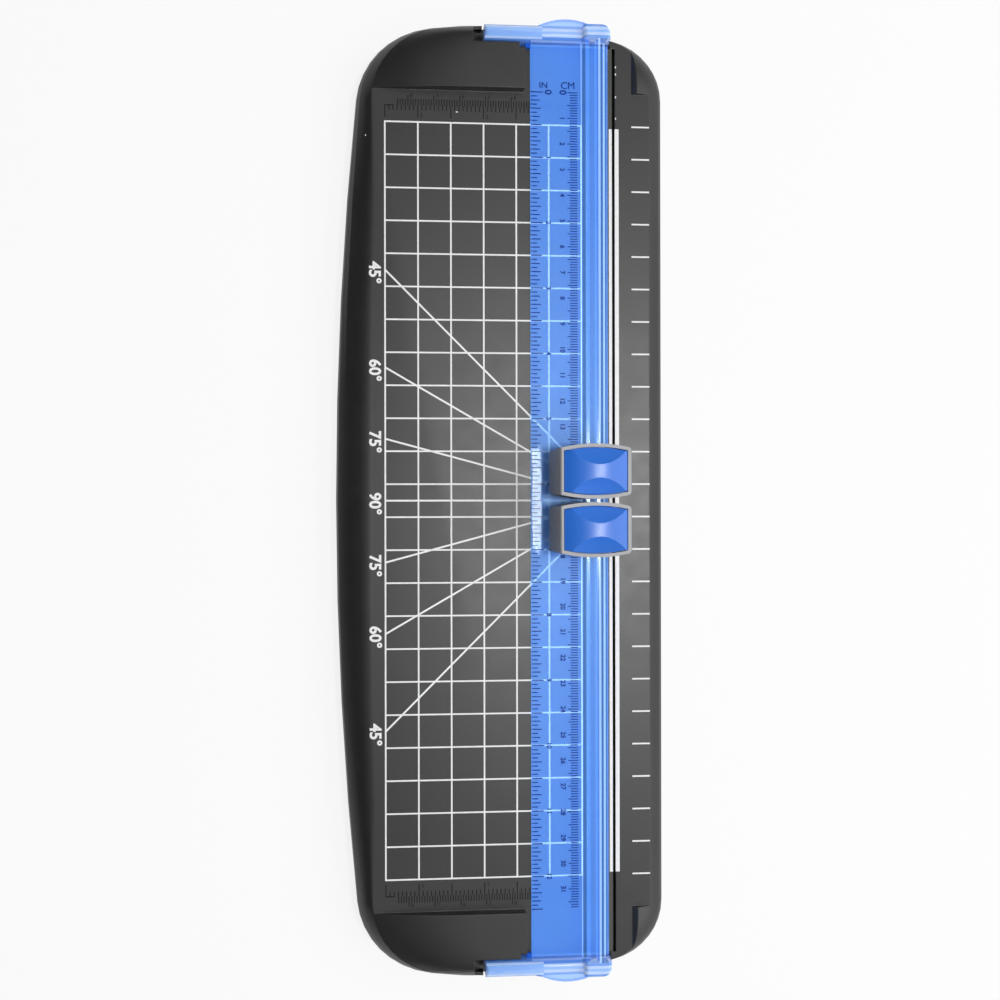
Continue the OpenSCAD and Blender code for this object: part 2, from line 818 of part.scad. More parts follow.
module car_button() {
  color(button_blue) {
    difference() {
      union() {
        translate([0, 0, skirt_z0]) linear_extrude(skirt_z1 - skirt_z0) car_plan(skirt_inset, 0);
        intersection() {
          translate([0, 0, skirt_z1 - join]) linear_extrude(past) car_plan(crown_inset, 0);
          translate([crest_x, car_l, crest_z - crown_r])
            rotate([90, 0, 0]) cylinder(r = crown_r, h = 2 * car_l);
        }
      }
      for (side = [1, -1])
        translate([crest_x, side * scoop_y, crest_z + scoop_lift]) sphere(scoop_ball);
      translate([0, 0, skirt_z0 - join])
        linear_extrude(roof_z - skirt_z0 + join) car_plan(skirt_inset + skirt_t, 0);
      box(
        [holder_x0 - holder_room, -holder_l / 2 - holder_room, skirt_z0 - join],
        [car_x1, holder_l / 2 + holder_room, roof_z]
      );
    }
    for (side = [1, -1])
      translate([stake_x, side * stake_y, roof_z - holder_foot_t])
        cylinder(d = stake_d, h = holder_foot_t + join);
  }
}

module blade_holder() {
  color(shoe_grey) difference() {
    union() {
      box([holder_x0, -holder_l / 2, holder_z0], [holder_x1, holder_l / 2, roof_z]);
      box(
        [holder_x1 - holder_foot_w, -holder_l / 2, roof_z - holder_foot_t],
        [holder_x1, holder_l / 2, roof_z]
      );
    }
    for (side = [1, -1])
      translate([stake_x, side * stake_y, roof_z - past])
        cylinder(r = stake_d / 2 + stake_clear, h = 2 * past);
    rivet_hole();
  }
}

module rivet_hole() {
  translate([holder_x0 - past, 0, rivet_z])
    rotate([0, 90, 0]) cylinder(r = rivet_d / 2 + seat_gap, h = 2 * past);
}

module blade_profile_pointed() {
  polygon([
    [-blade_l / 2, tip_z + blade_h],
    [-blade_l / 2, tip_z + tip_h],
    [0, tip_z],
    [blade_l / 2, tip_z + tip_h],
    [blade_l / 2, tip_z + blade_h]
  ]);
}

module blade_profile_blunt() {
  translate([0, tip_z + score_r]) circle(score_r);
  translate([-score_r, tip_z + score_r]) square([2 * score_r, blade_h - score_r]);
}

module blade(t) {
  color(steel) difference() {
    along_x(cut_x - blade_t / 2, cut_x - blade_t / 2 + t) children();
    rivet_hole();
  }
}

module blade_rivet(t) {
  right = cut_x - blade_t / 2 + t;
  head = rivet_d + 2 * rivet_rim;
  color(steel) translate([holder_x0, 0, rivet_z]) rotate([0, 90, 0]) {
    cylinder(d = rivet_d, h = right - holder_x0 + rivet_head);
    translate([0, 0, right - holder_x0]) cylinder(d1 = head, d2 = head - 2 * rivet_taper, h = rivet_head);
  }
}

module at_cutter() {
  translate([0, car_y, 0]) children();
}

module at_scorer() {
  translate([0, -car_y, 0]) children();
}

module cutter_blade() {
  blade(blade_t) blade_profile_pointed();
}

module scorer_blade() {
  blade(score_t) blade_profile_blunt();
}

base_shell();
cutting_strip();
for (i = [0:len(foot_sites) - 1])
  foot(foot_sites[i]);
hinge_pin_rear();
hinge_pin_front();
ruler_rail();
at_cutter() car_shell();  // cutter_shell
at_cutter() car_shoe();  // cutter_shoe
at_cutter() car_spring();  // cutter_spring
at_cutter() car_button();  // cutter_button
at_cutter() blade_holder();  // cutter_blade_holder
at_cutter() cutter_blade();
at_cutter() blade_rivet(blade_t);  // cutter_blade_rivet
at_scorer() car_shell();  // scorer_shell
at_scorer() car_shoe();  // scorer_shoe
at_scorer() car_spring();  // scorer_spring
at_scorer() car_button();  // scorer_button
at_scorer() blade_holder();  // scorer_blade_holder
at_scorer() scorer_blade();
at_scorer() blade_rivet(score_t);  // scorer_blade_rivet
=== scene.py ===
"""Looks of the paper trimmer: finishes, printed marks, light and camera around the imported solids.

Everything is in metres, in the frame of the solids: X across the deck, Y along the cut, Z up.
"""

import json
import math

import bmesh
import bpy
from mathutils import Matrix, Vector

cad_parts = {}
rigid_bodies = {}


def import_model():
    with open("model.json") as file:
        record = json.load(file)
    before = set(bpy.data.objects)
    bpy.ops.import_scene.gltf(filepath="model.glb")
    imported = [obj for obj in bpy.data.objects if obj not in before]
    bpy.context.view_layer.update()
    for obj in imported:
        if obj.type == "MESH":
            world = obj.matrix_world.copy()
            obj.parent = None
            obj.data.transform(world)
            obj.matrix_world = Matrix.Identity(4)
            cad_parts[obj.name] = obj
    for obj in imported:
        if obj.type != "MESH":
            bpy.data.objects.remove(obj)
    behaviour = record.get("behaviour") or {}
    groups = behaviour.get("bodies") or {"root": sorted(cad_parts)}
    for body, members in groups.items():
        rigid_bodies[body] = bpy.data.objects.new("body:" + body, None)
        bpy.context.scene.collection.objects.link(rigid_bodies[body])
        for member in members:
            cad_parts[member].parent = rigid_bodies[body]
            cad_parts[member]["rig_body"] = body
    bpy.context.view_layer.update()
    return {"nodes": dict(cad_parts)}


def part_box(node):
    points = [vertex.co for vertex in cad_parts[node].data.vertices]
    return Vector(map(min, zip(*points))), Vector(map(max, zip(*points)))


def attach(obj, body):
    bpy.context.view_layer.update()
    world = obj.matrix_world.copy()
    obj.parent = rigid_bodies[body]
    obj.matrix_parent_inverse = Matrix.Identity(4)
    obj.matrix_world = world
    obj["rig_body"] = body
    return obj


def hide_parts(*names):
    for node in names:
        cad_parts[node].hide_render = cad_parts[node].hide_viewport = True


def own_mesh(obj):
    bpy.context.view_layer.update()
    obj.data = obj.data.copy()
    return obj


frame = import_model()

MM = 0.001
INCH = 0.0254

# How far two measures may differ and still count as one
NEAR = 0.05 * MM
HAIR = 0.02 * MM
LEVEL = 0.01 * MM

# Distances within which corners are joined and cuts snap
JOIN = 0.002 * MM
JOIN_TEXT = 0.0001 * MM
SNAP = 0.001 * MM
FLAT = math.radians(0.4)

# Places, from the solids and their sizes
_, STRIP_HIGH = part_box("cutting_strip")
_, RAIL_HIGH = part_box("ruler_rail")
DECK_Z = 16 * MM
SLOT_W = 1.1 * MM
CUT_X = STRIP_HIGH.x + SLOT_W / 2
FENCE_Y = 6.25 * INCH
RAIL_W = 30.3 * MM
PLATE_LIFT = 0.3 * MM
PLATE_T = 2.4 * MM
BEAM_H = 6.8 * MM
PLATE_LEFT = RAIL_HIGH.x - RAIL_W
PLATE_Z = DECK_Z + PLATE_LIFT
PLATE_TOP = PLATE_Z + PLATE_T
BEAM_TOP = PLATE_TOP + BEAM_H
ARM_Y = 177.1 * MM
ARM_OUTER = 183.1 * MM

# Text, with the share of a letter's body that a capital takes in the built-in face
CAPITAL = 0.73
TURNED = -math.pi / 2

# Grid printed on the deck
INK = 0.03 * MM
GRID = INCH / 2
GRID_COLUMNS = 7
GRID_ROWS = 24
GRID_LINE = 0.62 * MM
GRID_LEFT = CUT_X - GRID_COLUMNS * GRID
GRID_RIGHT = CUT_X - GRID
ROW_YS = [(i - (GRID_ROWS - 1) / 2) * GRID for i in range(GRID_ROWS)]

# Guide lines that fan out from the cut line, in degrees from it
ANGLES = (45, 60, 75, 90, -75, -60, -45)
ANGLE_LINE = 0.7 * MM
ANGLE_INK = INK * 1.2
ANGLE_LABEL_H = 4.5 * MM
ANGLE_LABEL_LEFT = 4.1 * MM
ANGLE_LABEL_DOWN = 1.2 * MM
ANGLE_LABEL_BOLD = 0.03

# Ticks on the right of the deck, from and to, beside the cut line
DECK_TICK_FROM = 7.2 * MM
DECK_TICK_TO = 14.2 * MM

# White stripes beside the blade slot
STRIPE_HALF = 145.1 * MM
LEFT_STRIPE_W = 1.2 * MM
RIGHT_STRIPE_W = 1.6 * MM

# Flecks of paint beyond the stripes' ends, and scuffs as left end, place along the cut, length and width
FLECK_YS = (169.3 * MM, 166.5 * MM, 157.6 * MM, 149.2 * MM)
FLECK_IN = 0.2 * MM
FLECK_L = 0.4 * MM
FLECK_W = 0.8 * MM
SCUFFS = (
    (-17.6 * MM, 150.3 * MM, 0.9 * MM, 0.35 * MM),
    (-52.4 * MM, 140.5 * MM, 0.3 * MM, 0.6 * MM),
)

# Ruler on the rail, printed against the plate's underside
RULER_Z = PLATE_Z + 0.18 * MM
RULER_INCHES = 12.5
INCH_TICK = 0.38 * MM
INCH_TICK_X = PLATE_LEFT + 0.3 * MM
INCH_TICK_LENGTHS = ((16, 4.75 * MM), (8, 4.15 * MM), (4, 3.85 * MM), (2, 3.4 * MM))
SIXTEENTH_TICK_L = 2.4 * MM
CM_TICK = 0.32 * MM
CM_TICK_X = PLATE_LEFT + 18.5 * MM
FIVE_MM_TICK_L = 3.9 * MM
ONE_MM_TICK_L = 2.9 * MM
INCH_NUMBER_X = PLATE_LEFT + 7.1 * MM
INCH_NUMBER_H = 1.85 * MM
CM_NUMBER_X = PLATE_LEFT + 12.5 * MM
CM_NUMBER_H = 1.9 * MM
ZERO_XS = (INCH_NUMBER_X - 0.1 * MM, CM_NUMBER_X + 0.2 * MM)
ZERO_H = 2.7 * MM
NUMBER_BOLD = 0.02
UNIT_Y = FENCE_Y + 2.6 * MM
UNITS = (("IN", PLATE_LEFT + 5.2 * MM, 2.5 * MM), ("CM", PLATE_LEFT + 14.8 * MM, 2.8 * MM))

# Strip under the inch ticks, which leans so that it mirrors the light
TICK_STRIP = 4.2 * MM
TICK_EDGE = 0.6 * MM
TICK_TILT = 0.16 * MM

# Finishes of the rail's zones, in the order of its material slots; the beam's lines and the arms' bands
# among them are painted highlight and painted shade
CLEAR, UNDER, TICKS, TOP, PAINTED_HIGHLIGHT_LINE, PAINTED_SHADE_LINE, ARM, ARM_PAINTED_HIGHLIGHT, ARM_PAINTED_SHADE, DEEP, TAB = range(11)

# Painted highlight lines and painted shade lines along the beam, for its edge glints, reflections and
# shadows, each from and to, beside the cut line, with its level and finish
PAINTED_RAIL_LINES = (
    (-13.2 * MM, -12.8 * MM, PLATE_TOP, PAINTED_HIGHLIGHT_LINE),
    (-12.4 * MM, -11.4 * MM, PLATE_TOP, PAINTED_SHADE_LINE),
    (-7.4 * MM, -6.6 * MM, BEAM_TOP, PAINTED_HIGHLIGHT_LINE),
    (-6.0 * MM, -4.55 * MM, PLATE_TOP, PAINTED_SHADE_LINE),
    (-4.55 * MM, -3.8 * MM, PLATE_TOP, PAINTED_HIGHLIGHT_LINE),
    (-3.8 * MM, -2.3 * MM, PLATE_TOP, PAINTED_SHADE_LINE),
)

# Bands across an arm, painted highlight and painted shade where its rounded edges catch or miss the light,
# each up to a distance from the middle of the part, with the finish left and right of the place where the
# painted streaks change
ARM_PAINTED_BANDS = (
    (177.5 * MM, ARM_PAINTED_SHADE, ARM_PAINTED_SHADE),
    (178.2 * MM, ARM_PAINTED_HIGHLIGHT, ARM_PAINTED_SHADE),
    (179.3 * MM, ARM, ARM_PAINTED_HIGHLIGHT),
    (180.3 * MM, ARM, ARM),
    (181.5 * MM, ARM, ARM_PAINTED_HIGHLIGHT),
    (182.4 * MM, ARM_PAINTED_HIGHLIGHT, ARM_PAINTED_SHADE),
    (183.0 * MM, ARM_PAINTED_SHADE, ARM_PAINTED_SHADE),
)
# Where the arms' painted highlight streaks change, and the height below which an arm's inner face gets a
# painted highlight line
ARM_PAINTED_STREAK_X = PLATE_LEFT + TICK_STRIP
ARM_FOOT_Z = PLATE_TOP + 1.8 * MM
ARM_CORNER = 5 * MM
ARM_CORNER_TURNS = (12, 24, 36, 48, 60, 72)
TAB_SHIFT = 1.9 * MM

# Upward share of a normal on faces that count as level, up, down and flat
LEVEL_FACE = 0.9999
UP_FACE = 0.9
DOWN_FACE = -0.7
FLAT_FACE = 0.5

# Crease where the deck turns into the left rim
CREASE_X = -30 * MM
CREASE_OFF_FENCE = 0.5 * MM
CREASE_SLOPE = (0.85, 0.99)
CREASE_ROUND = 2.2 * MM

# Scales raised on the deck inside both fences, with how far the last marks and the end line reach
SCALE_Y = FENCE_Y - 6.3 * MM
SCALE_LINE = 0.42 * MM
SCALE_RISE = 0.12 * MM
SCALE_END = 9 * MM
SCALE_SIXTEENTHS = 56
SCALE_MM = 84
SCALE_HALF_INCH_L = 4.6 * MM
SCALE_SIXTEENTH_L = 1.9 * MM
SCALE_CM_L = 4.0 * MM
SCALE_MM_L = 2.5 * MM
SCALE_NUMBER_H = 1.6 * MM
SCALE_INCH_NUMBER = (1.4 * MM, 3.9 * MM)
SCALE_CM_NUMBER = (1.3 * MM, 3.7 * MM)
SCALE_END_X = CUT_X - 3.5 * INCH
SCALE_END_L = 3.2 * MM


# Meshes


def new_piece(name, bm, body, finish):
    """A piece from a finished bmesh, riding on a body."""
    mesh = bpy.data.meshes.new(name)
    bmesh.ops.recalc_face_normals(bm, faces=bm.faces)
    bm.to_mesh(mesh)
    bm.free()
    piece = bpy.data.objects.new(name, mesh)
    bpy.context.scene.collection.objects.link(piece)
    mesh.materials.append(finish)
    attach(piece, body)
    return piece


def add_prism(bm, outline, z0, z1):
    """An upright prism over a flat outline."""
    low = [bm.verts.new((x, y, z0)) for x, y in outline]
    high = [bm.verts.new((x, y, z1)) for x, y in outline]
    bm.faces.new(low)
    bm.faces.new(high)
    for i in range(len(outline)):
        k = (i + 1) % len(outline)
        bm.faces.new((low[i], low[k], high[k], high[i]))


def line_outline(a, b, width):
    """The four corners of a straight line of some width."""
    along = (Vector(b) - Vector(a)).normalized()
    side = Vector((-along.y, along.x)) * width / 2
    return [Vector(a) - side, Vector(b) - side, Vector(b) + side, Vector(a) + side]


def lines(name, segments, z, height, body, finish):
    """Straight marks, each given as start, end and width, as one raised print."""
    bm = bmesh.new()
    for a, b, width in segments:
        add_prism(bm, line_outline(a, b, width), z, z + height)
    return new_piece(name, bm, body, finish)


def text_mesh(words, height, bold):
    """Text of a given capital height, drawn in the built-in face, centred on the origin."""
    curve = bpy.data.curves.new("words", "FONT")
    curve.body = words
    curve.align_x = "CENTER"
    curve.align_y = "CENTER"
    curve.offset = bold
    curve.extrude = 0.5
    curve.resolution_u = 4
    holder = bpy.data.objects.new("words", curve)
    bpy.context.scene.collection.objects.link(holder)
    mesh = bpy.data.meshes.new_from_object(holder.evaluated_get(bpy.context.evaluated_depsgraph_get()))
    bpy.data.objects.remove(holder)
    bpy.data.curves.remove(curve)
    size = height / CAPITAL
    mesh.transform(Matrix.Diagonal((size, size, 1, 1)))
    return mesh


def add_text(bm, words, place, z, height, turn=0.0, bold=0.0, ink=INK):
    """Raised text at a place on a level surface, turned about Z."""
    mesh = text_mesh(words, height, bold)
    low = min(v.co.z for v in mesh.vertices)
    high = max(v.co.z for v in mesh.vertices)
    squash = Matrix.Diagonal((1, 1, ink / (high - low), 1))
    turned = Matrix.Rotation(turn, 4, "Z") @ squash @ Matrix.Translation((0, 0, -low))
    mesh.transform(Matrix.Translation((place[0], place[1], z)) @ turned)
    bm.from_mesh(mesh)
    bpy.data.meshes.remove(mesh)
    bmesh.ops.remove_doubles(bm, verts=bm.verts, dist=JOIN_TEXT)


def smooth_copy(node, finishes, limit=14.0, change=None):
    """A piece that stands for a CAD node: its shape with joined corners, smooth curves and small changes."""
    source = frame["nodes"][node]
    bm = bmesh.new()
    bm.from_mesh(source.data)
    bmesh.ops.remove_doubles(bm, verts=bm.verts, dist=JOIN)
    bmesh.ops.dissolve_limit(bm, angle_limit=FLAT, use_dissolve_boundaries=False,
                             verts=bm.verts, edges=bm.edges)
    for face in bm.faces:
        face.smooth = True
        face.material_index = 0
    if change:
        change(bm)
    for e in bm.edges:
        e.smooth = e.calc_face_angle(0) < math.radians(limit)
    mesh = bpy.data.meshes.new(node + "_form")
    bm.to_mesh(mesh)
    bm.free()
    if "custom_normal" in mesh.attributes:
        mesh.attributes.remove(mesh.attributes["custom_normal"])
    piece = bpy.data.objects.new(node + "_form", mesh)
    bpy.context.scene.collection.objects.link(piece)
    for finish in finishes:
        mesh.materials.append(finish)
    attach(piece, source["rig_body"])
    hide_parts(node)
    return piece


def soften_crease(bm):
    """Rounds the long edge where the deck turns into the left rim, up to a little before the fences."""
    crease = []
    for e in bm.edges:
        if len(e.link_faces) != 2:
            continue
        tops = sorted(f.normal.z for f in e.link_faces)
        middle = (e.verts[0].co + e.verts[1].co) / 2
        on_deck = abs(middle.z - DECK_Z) < LEVEL and middle.x < CREASE_X
        off_fence = max(abs(v.co.y) for v in e.verts) < FENCE_Y - CREASE_OFF_FENCE
        turns = tops[1] > LEVEL_FACE and CREASE_SLOPE[0] < tops[0] < CREASE_SLOPE[1]
        if on_deck and off_fence and turns:
            crease.append(e)
    bmesh.ops.bevel(bm, geom=crease, offset=CREASE_ROUND, offset_type="OFFSET", segments=4, profile=0.5,
                    affect="EDGES", clamp_overlap=False)


def split(bm, place, normal):
    """Cuts faces along a plane, without taking anything away."""
    everything = bm.verts[:] + bm.edges[:] + bm.faces[:]
    bmesh.ops.bisect_plane(bm, geom=everything, dist=SNAP, plane_co=place, plane_no=normal)


def shift_tabs(bm):
    """Slides the finger tabs a little to the right along the arms."""
    tab = {v for v in bm.verts if abs(v.co.y) > ARM_OUTER + HAIR}
    foot = {e.other_vert(v) for v in tab for e in v.link_edges}
    for v in tab | foot:
        v.co.x += TAB_SHIFT


def round_arm_ends(bm):
    """Rounds the outer right corner of both arms."""
    for side in (1, -1):
        centre = Vector((RAIL_HIGH.x - ARM_CORNER, side * (ARM_OUTER - ARM_CORNER), 0))
        for degrees in ARM_CORNER_TURNS:
            turn = math.radians(degrees)
            outward = Vector((math.cos(turn), side * math.sin(turn), 0))
            everything = bm.verts[:] + bm.edges[:] + bm.faces[:]
            bmesh.ops.bisect_plane(bm, geom=everything, dist=SNAP, plane_co=centre + outward * ARM_CORNER,
                                   plane_no=outward, clear_outer=True)
            rim = [e for e in bm.edges if len(e.link_faces) == 1]
            filled = bmesh.ops.holes_fill(bm, edges=rim, sides=0)
            for face in filled["faces"]:
                face.smooth = True


def tilt_tick_strip(bm):
    """Raises the plate's lower left edge a little, so that the strip under the inch ticks leans."""
    split(bm, (PLATE_LEFT, 0, 0), (1, 0, 0))
    split(bm, (PLATE_LEFT + TICK_STRIP, 0, 0), (1, 0, 0))
    for side in (1, -1):
        split(bm, (0, side * FENCE_Y, 0), (0, 1, 0))
    for v in bm.verts:
        at_edge = abs(v.co.x - PLATE_LEFT) < NEAR and abs(v.co.z - PLATE_Z) < NEAR
        if at_edge and abs(v.co.y) < FENCE_Y + NEAR:
            v.co.z += TICK_TILT
    split(bm, (PLATE_LEFT + TICK_EDGE, 0, 0), (1, 0, 0))


def rail_zone(middle, normal):
    """The finish of a face of the rail, from its middle and its normal, with painted highlight and painted
    shade on the arms, the tab's sides and lines along the beam.
    """
    # The tab's sides and the arms' bands get painted highlight or painted shade; the low inner face of an
    # arm gets a painted highlight line where the plate meets it
    if abs(middle.y) > ARM_OUTER + NEAR:
        return TAB if abs(normal.z) > FLAT_FACE else ARM_PAINTED_SHADE
    if abs(middle.y) > ARM_Y:
        if middle.z < ARM_FOOT_Z and middle.x > PLATE_LEFT and normal.y * middle.y < 0:
            return ARM_PAINTED_HIGHLIGHT
        for end, left, right in ARM_PAINTED_BANDS:
            if abs(middle.y) < end:
                return left if middle.x < ARM_PAINTED_STREAK_X else right
        return ARM
    if middle.x < PLATE_LEFT - NEAR:
        return DEEP
    if normal.z < DOWN_FACE and middle.z < PLATE_Z + TICK_TILT:
        return TICKS if TICK_EDGE < middle.x - PLATE_LEFT < TICK_STRIP else UNDER
    if normal.z > UP_FACE:
        # Thin lines on the plate's and flange's tops get a painted highlight or a painted shadow
        for x0, x1, level, zone in PAINTED_RAIL_LINES:
            if x0 < middle.x - CUT_X < x1 and abs(middle.z - level) < NEAR:
                return zone
        return TOP
    return CLEAR


def rail_zones(bm):
    """Finishes the rail's ends, leans the tick strip, and gives the rail's zones their finishes, painted
    highlight and painted shade among them.
    """
    shift_tabs(bm)
    round_arm_ends(bm)
    split(bm, (ARM_PAINTED_STREAK_X, 0, 0), (1, 0, 0))
    split(bm, (0, 0, ARM_FOOT_Z), (0, 0, 1))
    for side in (1, -1):
        split(bm, (0, side * ARM_Y, 0), (0, 1, 0))
        for end, _, _ in ARM_PAINTED_BANDS:
            split(bm, (0, side * end, 0), (0, 1, 0))
    for x0, x1, _, _ in PAINTED_RAIL_LINES:
        split(bm, (CUT_X + x0, 0, 0), (1, 0, 0))
        split(bm, (CUT_X + x1, 0, 0), (1, 0, 0))
    tilt_tick_strip(bm)
    bm.normal_update()
    for face in bm.faces:
        face.material_index = rail_zone(face.calc_center_median(), face.normal)


# Materials


def grey(level):
    """A colour without a hue."""
    return (level, level, level)


def material(name, colour, roughness):
    """A principled material and its shader."""
    made = bpy.data.materials.new(name)
    made.use_nodes = True
    shader = made.node_tree.nodes["Principled BSDF"]
    shader.inputs["Base Color"].default_value = (*colour, 1)
    shader.inputs["Roughness"].default_value = roughness
    return made, shader


def noise(made, scale, detail=2.0, stretch=(1, 1, 1)):
    """Noise over the object's own coordinates, as a node's output."""
    nodes, links = made.node_tree.nodes, made.node_tree.links
    place = nodes.new("ShaderNodeTexCoord")
    mapping = nodes.new("ShaderNodeMapping")
    mapping.inputs["Scale"].default_value = stretch
    links.new(place.outputs["Object"], mapping.inputs["Vector"])
    texture = nodes.new("ShaderNodeTexNoise")
    texture.inputs["Scale"].default_value = scale
    texture.inputs["Detail"].default_value = detail
    links.new(mapping.outputs["Vector"], texture.inputs["Vector"])
    return texture.outputs["Fac"]


def vary_colour(made, shader, factor, low, high):
    """Base colour that wanders between two tones."""
    nodes, links = made.node_tree.nodes, made.node_tree.links
    ramp = nodes.new("ShaderNodeValToRGB")
    ramp.color_ramp.elements[0].position = 0.35
    ramp.color_ramp.elements[0].color = (*low, 1)
    ramp.color_ramp.elements[1].position = 0.65
    ramp.color_ramp.elements[1].color = (*high, 1)
    links.new(factor, ramp.inputs["Fac"])
    links.new(ramp.outputs["Color"], shader.inputs["Base Color"])


def vary_roughness(made, shader, factor, low, high):
    """Roughness that wanders between two values."""
    nodes, links = made.node_tree.nodes, made.node_tree.links
    span = nodes.new("ShaderNodeMapRange")
    span.inputs["From Min"].default_value = 0.3
    span.inputs["From Max"].default_value = 0.7
    span.inputs["To Min"].default_value = low
    span.inputs["To Max"].default_value = high
    links.new(factor, span.inputs["Value"])
    links.new(span.outputs["Result"], shader.inputs["Roughness"])


def grain(made, shader, factor, strength, depth):
    """A fine moulded or ground texture in the surface."""
    nodes, links = made.node_tree.nodes, made.node_tree.links
    bump = nodes.new("ShaderNodeBump")
    bump.inputs["Strength"].default_value = strength
    bump.inputs["Distance"].default_value = depth
    links.new(factor, bump.inputs["Height"])
    links.new(bump.outputs["Normal"], shader.inputs["Normal"])


def round_edges(made, radius):
    """Shades sharp edges as if they had a small radius."""
    nodes, links = made.node_tree.nodes, made.node_tree.links
    bevel = nodes.new("ShaderNodeBevel")
    bevel.samples = 6
    bevel.inputs["Radius"].default_value = radius
    bump = next(n for n in nodes if n.bl_idname == "ShaderNodeBump")
    links.new(bevel.outputs["Normal"], bump.inputs["Normal"])


def moulded(name, low, high, rough, texture, strength, edge=0.0, shine=0.5):
    """A moulded plastic: two close tones, an uneven gloss, a fine texture and edges that look rounded."""
    made, shader = material(name, low, rough[0])
    shader.inputs["Specular IOR Level"].default_value = shine
    vary_colour(made, shader, noise(made, 60, 3), low, high)
    vary_roughness(made, shader, noise(made, 140, 4), *rough)
    grain(made, shader, noise(made, texture, 3), strength, 0.05 * MM)
    if edge:
        round_edges(made, edge)
    return made


def clear_plastic(name, scatter, passes, roughness, shine):
    """Blue plastic that scatters some light back and lets the rest straight through."""
    made, shader = material(name, scatter, roughness)
    shader.inputs["Specular IOR Level"].default_value = shine
    nodes, links = made.node_tree.nodes, made.node_tree.links
    dim = tuple(c * 0.96 for c in scatter)
    vary_colour(made, shader, noise(made, 25, 2), dim, scatter)
    shader.inputs["IOR"].default_value = 1.49
    grain(made, shader, noise(made, 300, 2), 0.02, 0.02 * MM)
    through = nodes.new("ShaderNodeBsdfTransparent")
    through.inputs["Color"].default_value = (*passes, 1)
    both = nodes.new("ShaderNodeAddShader")
    links.new(shader.outputs["BSDF"], both.inputs[0])
    links.new(through.outputs["BSDF"], both.inputs[1])
    links.new(both.outputs["Shader"], nodes["Material Output"].inputs["Surface"])
    return made


def steel(name, roughness, stretch):
    """Ground steel with fine streaks."""
    made, shader = material(name, (0.60, 0.61, 0.63), roughness)
    streaks = noise(made, 900, 2, stretch)
    vary_colour(made, shader, streaks, (0.55, 0.56, 0.58), (0.66, 0.67, 0.69))
    vary_roughness(made, shader, streaks, roughness * 0.8, roughness * 1.3)
    grain(made, shader, streaks, 0.1, 0.02 * MM)
    shader.inputs["Metallic"].default_value = 1.0
    return made


def print_ink(name, low, high, roughness, shine):
    """Ink, a little uneven as screen print is."""
    made, shader = material(name, low, roughness)
    shader.inputs["Specular IOR Level"].default_value = shine
    vary_colour(made, shader, noise(made, 700, 2), low, high)
    vary_roughness(made, shader, noise(made, 900, 2), roughness * 0.9, roughness * 1.1)
    return made


BASE = moulded("base_plastic", grey(0.005), grey(0.0075), (0.39, 0.43),
               texture=4000, strength=0.08, edge=0.5 * MM, shine=0.78)
MARK = moulded("mark_plastic", grey(0.006), grey(0.010), (0.50, 0.60),
               texture=5000, strength=0.2, shine=0.3)
STRIP = moulded("strip_plastic", (0.042, 0.045, 0.037), (0.050, 0.053, 0.043), (0.45, 0.55),
                texture=3000, strength=0.1, edge=0.2 * MM, shine=0.6)
RUBBER = moulded("foot_rubber", grey(0.010), grey(0.016), (0.75, 0.9),
                 texture=5000, strength=0.3, edge=0.4 * MM)
RAIL = clear_plastic("rail_plastic", (0.001, 0.01, 0.05), (0.86, 0.92, 0.97), 0.12, 0.3)
RAIL_UNDER = clear_plastic("rail_underside", (0.085, 0.275, 0.82), (0.76, 0.82, 0.66), 0.35, 0.0)
RAIL_TICKS = clear_plastic("rail_tick_strip", (0.085, 0.275, 0.82), (0.76, 0.82, 0.66), 0.03, 0.09)
RAIL_TOP = clear_plastic("rail_top", (0.001, 0.01, 0.05), (0.86, 0.92, 0.97), 0.5, 0.2)
# Painted highlight lines and painted shadow lines along the beam, standing in for its edge glints and
# shadows
RAIL_PAINTED_HIGHLIGHT = clear_plastic("rail_painted_highlight_line", (0.30, 0.45, 0.70), (0.80, 0.86, 0.90), 0.5, 0.2)
RAIL_PAINTED_SHADE = clear_plastic("rail_painted_shade_line", (0.001, 0.005, 0.02), (0.62, 0.63, 0.58), 0.5, 0.1)
RAIL_ARM = clear_plastic("rail_arm", (0.25, 0.46, 0.95), (0.32, 0.32, 0.25), 0.15, 0.2)
# Painted highlight and painted shade bands on the arms, where their rounded edges catch or miss the light
RAIL_ARM_PAINTED_HIGHLIGHT = clear_plastic("rail_arm_painted_highlight", (0.46, 0.62, 0.95), (0.32, 0.32, 0.28), 0.15, 0.3)
RAIL_ARM_PAINTED_SHADE = clear_plastic("rail_arm_painted_shade", (0.13, 0.31, 0.80), (0.25, 0.28, 0.28), 0.15, 0.2)
RAIL_DEEP = clear_plastic("rail_gusset", (0.012, 0.10, 0.50), (0.10, 0.15, 0.25), 0.2, 0.1)
RAIL_TAB = clear_plastic("rail_tab", (0.17, 0.30, 0.56), (0.50, 0.56, 0.66), 0.15, 0.2)
BUTTON = moulded("button_plastic", (0.019, 0.17, 0.72), (0.023, 0.18, 0.76), (0.30, 0.36),
                 texture=3500, strength=0.05, edge=0.3 * MM, shine=0.69)
SHELL = moulded("shell_plastic", (0.43, 0.435, 0.455), (0.45, 0.455, 0.475), (0.45, 0.55),
                texture=3500, strength=0.08, edge=0.3 * MM, shine=0.28)
SHOE = moulded("shoe_plastic", (0.03, 0.03, 0.032), (0.045, 0.045, 0.047), (0.4, 0.5),
               texture=3000, strength=0.1, edge=0.3 * MM)
STEEL = steel("bright_steel", 0.28, (1, 1, 1))
PIN = moulded("blackened_steel", (0.012, 0.012, 0.014), (0.02, 0.02, 0.022), (0.35, 0.45),
              texture=2500, strength=0.1, edge=0.2 * MM)
